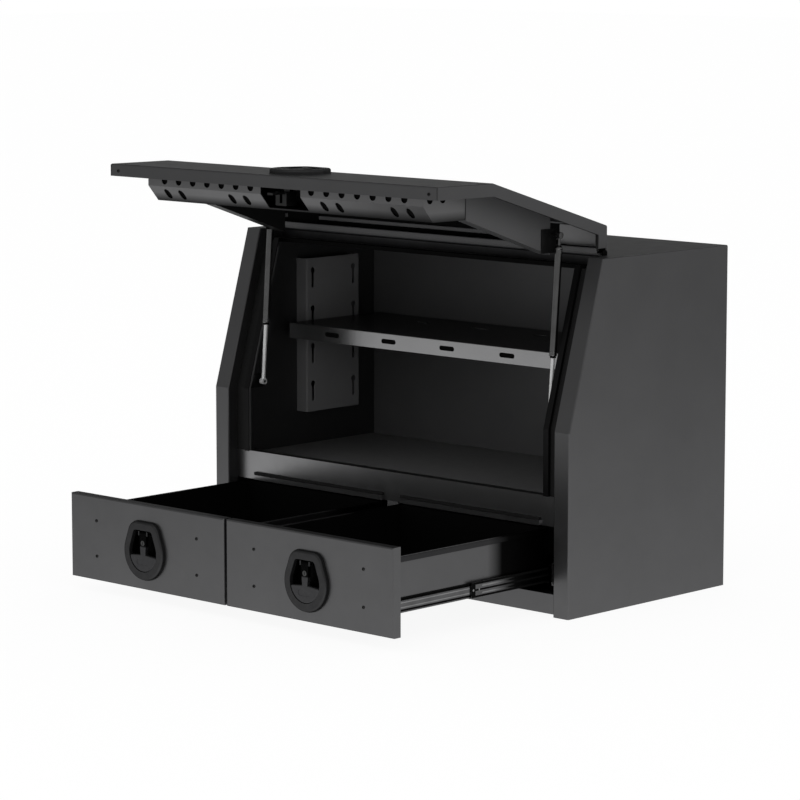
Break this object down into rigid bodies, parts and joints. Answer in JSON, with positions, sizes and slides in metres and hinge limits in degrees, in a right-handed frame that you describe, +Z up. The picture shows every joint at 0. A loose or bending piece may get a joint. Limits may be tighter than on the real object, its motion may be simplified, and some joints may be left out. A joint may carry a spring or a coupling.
{
  "type": "tool chest",
  "caption": "Sheet steel tool chest with a bent upward-swinging lid on gas struts, an adjustable shelf inside, and drawers below with folding lockable latch handles.",
  "frame": {"origin": "centre of the cabinet's footprint, on the plane it stands on", "axes": "+X to the viewer's right along the width, +Y towards the back panel, +Z up; the drawers and the lid open towards -Y"},
  "size_m": [1.2, 1.1426, 1.0508],
  "materials": {
    "handle_plastic": "satin moulded",
    "hinge_steel": "satin",
    "latch_plastic": "satin moulded",
    "lock_metal": "satin",
    "powder_coat": "satin powder coat",
    "rod_chrome": "polished",
    "seal_rubber": "matt",
    "slide_steel": "satin zinc",
    "strut_black": "satin",
    "tray_steel": "satin powder coat",
    "zinc_screws": "satin",
    "zinc_steel": "satin"
  },
  "bodies": {
    "cabinet": {"back_panel": "powder_coat", "base_pan": "powder_coat", "bottom_rail": "powder_coat", "centre_divider": "powder_coat", "compartment_floor": "powder_coat", "door_frame_left": "powder_coat", "door_frame_right": "powder_coat", "door_frame_top": "powder_coat", "door_seal": "seal_rubber", "drawer_dust_seal": "seal_rubber", "hinge_body_leaf": "hinge_steel", "hinge_pin": "hinge_steel", "latch_strikers": "zinc_steel", "roof_panel": "powder_coat", "shelf": "powder_coat", "shelf_bracket_left": "powder_coat", "shelf_bracket_right": "powder_coat", "shelf_hooks": "zinc_steel", "side_panel_left": "powder_coat", "side_panel_right": "powder_coat", "sill_rail": "powder_coat", "slide_mount_left": "powder_coat", "slide_mount_right": "powder_coat", "slide_outer_members": "slide_steel", "strut_foot_brackets": "zinc_steel"},
    "drawer_left": {"drawer_left_face": "powder_coat", "drawer_left_latch_dish": "latch_plastic", "drawer_left_screws": "zinc_screws", "drawer_left_slides": "slide_steel", "drawer_left_tray": "tray_steel"},
    "drawer_left_bolt": {"drawer_left_latch_bolt": "zinc_steel"},
    "drawer_left_handle": {"drawer_left_latch_handle": "handle_plastic"},
    "drawer_left_lock": {"drawer_left_lock_cylinder": "lock_metal"},
    "drawer_right": {"drawer_right_face": "powder_coat", "drawer_right_latch_dish": "latch_plastic", "drawer_right_screws": "zinc_screws", "drawer_right_slides": "slide_steel", "drawer_right_tray": "tray_steel"},
    "drawer_right_bolt": {"drawer_right_latch_bolt": "zinc_steel"},
    "drawer_right_handle": {"drawer_right_latch_handle": "handle_plastic"},
    "drawer_right_lock": {"drawer_right_lock_cylinder": "lock_metal"},
    "lid": {"hinge_lid_leaf": "hinge_steel", "lid_channel_left": "powder_coat", "lid_channel_right": "powder_coat", "lid_latch_dish": "latch_plastic", "lid_rail": "powder_coat", "lid_screws": "zinc_screws", "lid_skin": "powder_coat", "strut_head_brackets": "strut_black"},
    "lid_bolt": {"lid_latch_bolt": "zinc_steel"},
    "lid_latch_handle": {"lid_latch_handle": "handle_plastic"},
    "lid_lock": {"lid_lock_cylinder": "lock_metal"},
    "slide_middle_left": {"slide_middle_left": "slide_steel"},
    "slide_middle_right": {"slide_middle_right": "slide_steel"},
    "strut_rod_left": {"strut_rod_left": "rod_chrome"},
    "strut_rod_right": {"strut_rod_right": "rod_chrome"},
    "strut_tube_left": {"strut_tube_left": "strut_black"},
    "strut_tube_right": {"strut_tube_right": "strut_black"}
  },
  "joints": [
    {"name": "lid_hinge", "type": "hinge", "parent": "cabinet", "child": "lid", "pos_m": [0, -0.1045, 0.8445], "axis": [1, 0, 0], "range_deg": [0, 90.5], "stiffness_Nm_per_rad": 45, "springref_deg": -114.59},
    {"name": "strut_left_swing", "type": "hinge", "parent": "cabinet", "child": "strut_rod_left", "pos_m": [-0.4856, -0.234, 0.461], "axis": [1, 0, 0], "range_deg": [-11.37, 0]},
    {"name": "strut_left_stroke", "type": "slide", "parent": "strut_rod_left", "child": "strut_tube_left", "axis": [0, 0.0721, 0.9974], "range_m": [-0.14035, 0]},
    {"name": "drawer_left_slide", "type": "slide", "parent": "cabinet", "child": "drawer_left", "axis": [0, 1, 0], "range_m": [0, 0.5416]},
    {"name": "slide_middle_left_slide", "type": "slide", "parent": "cabinet", "child": "slide_middle_left", "axis": [0, 1, 0], "range_m": [0, 0.2708]},
    {"name": "drawer_left_handle_fold", "type": "hinge", "parent": "drawer_left", "child": "drawer_left_handle", "pos_m": [-0.2755, -0.8416, 0.17], "axis": [-1, 0, 0], "range_deg": [0, 55], "stiffness_Nm_per_rad": 0.4, "springref_deg": -22.92},
    {"name": "drawer_left_lock_turn", "type": "hinge", "parent": "drawer_left_handle", "child": "drawer_left_lock", "pos_m": [-0.2755, -0.8416, 0.147], "axis": [0, -1, 0], "range_deg": [0, 90]},
    {"name": "drawer_left_bolt_slide", "type": "slide", "parent": "drawer_left", "child": "drawer_left_bolt", "axis": [0, 0, -1], "range_m": [0, 0.0161]},
    {"name": "strut_right_swing", "type": "hinge", "parent": "cabinet", "child": "strut_rod_right", "pos_m": [0.4856, -0.234, 0.461], "axis": [1, 0, 0], "range_deg": [-11.37, 0]},
    {"name": "strut_right_stroke", "type": "slide", "parent": "strut_rod_right", "child": "strut_tube_right", "axis": [0, 0.0721, 0.9974], "range_m": [-0.14035, 0]},
    {"name": "drawer_right_slide", "type": "slide", "parent": "cabinet", "child": "drawer_right", "axis": [0, 1, 0], "range_m": [0, 0.5416]},
    {"name": "slide_middle_right_slide", "type": "slide", "parent": "cabinet", "child": "slide_middle_right", "axis": [0, 1, 0], "range_m": [0, 0.2708]},
    {"name": "drawer_right_handle_fold", "type": "hinge", "parent": "drawer_right", "child": "drawer_right_handle", "pos_m": [0.2755, -0.8416, 0.17], "axis": [-1, 0, 0], "range_deg": [0, 55], "stiffness_Nm_per_rad": 0.4, "springref_deg": -22.92},
    {"name": "drawer_right_lock_turn", "type": "hinge", "parent": "drawer_right_handle", "child": "drawer_right_lock", "pos_m": [0.2755, -0.8416, 0.147], "axis": [0, -1, 0], "range_deg": [0, 90]},
    {"name": "drawer_right_bolt_slide", "type": "slide", "parent": "drawer_right", "child": "drawer_right_bolt", "axis": [0, 0, -1], "range_m": [0, 0.0161]},
    {"name": "lid_handle_fold", "type": "hinge", "parent": "lid", "child": "lid_latch_handle", "pos_m": [0, -0.54228, 1.04383], "axis": [-1, 0, 0], "range_deg": [0, 55], "stiffness_Nm_per_rad": 0.4, "springref_deg": -22.92},
    {"name": "lid_lock_turn", "type": "hinge", "parent": "lid_latch_handle", "child": "lid_lock", "pos_m": [0, -0.56528, 1.04403], "axis": [0, 0.0087, 1], "range_deg": [0, 90]},
    {"name": "lid_bolt_slide", "type": "slide", "parent": "lid", "child": "lid_bolt", "axis": [0, 1, -0.0087], "range_m": [0, 0.0161]}
  ],
  "couplings": [
    {"joint": "strut_left_swing", "follows": "lid_hinge", "ratio": -0.12549},
    {"joint": "strut_left_stroke", "follows": "lid_hinge", "m_per_rad": -0.08879},
    {"joint": "slide_middle_left_slide", "follows": "drawer_left_slide", "ratio": 0.5},
    {"joint": "drawer_left_bolt_slide", "follows": "drawer_left_handle_fold", "m_per_rad": 0.016668},
    {"joint": "strut_right_swing", "follows": "lid_hinge", "ratio": -0.12549},
    {"joint": "strut_right_stroke", "follows": "lid_hinge", "m_per_rad": -0.08879},
    {"joint": "slide_middle_right_slide", "follows": "drawer_right_slide", "ratio": 0.5},
    {"joint": "drawer_right_bolt_slide", "follows": "drawer_right_handle_fold", "m_per_rad": 0.016668},
    {"joint": "lid_bolt_slide", "follows": "lid_handle_fold", "m_per_rad": 0.016668}
  ]
}
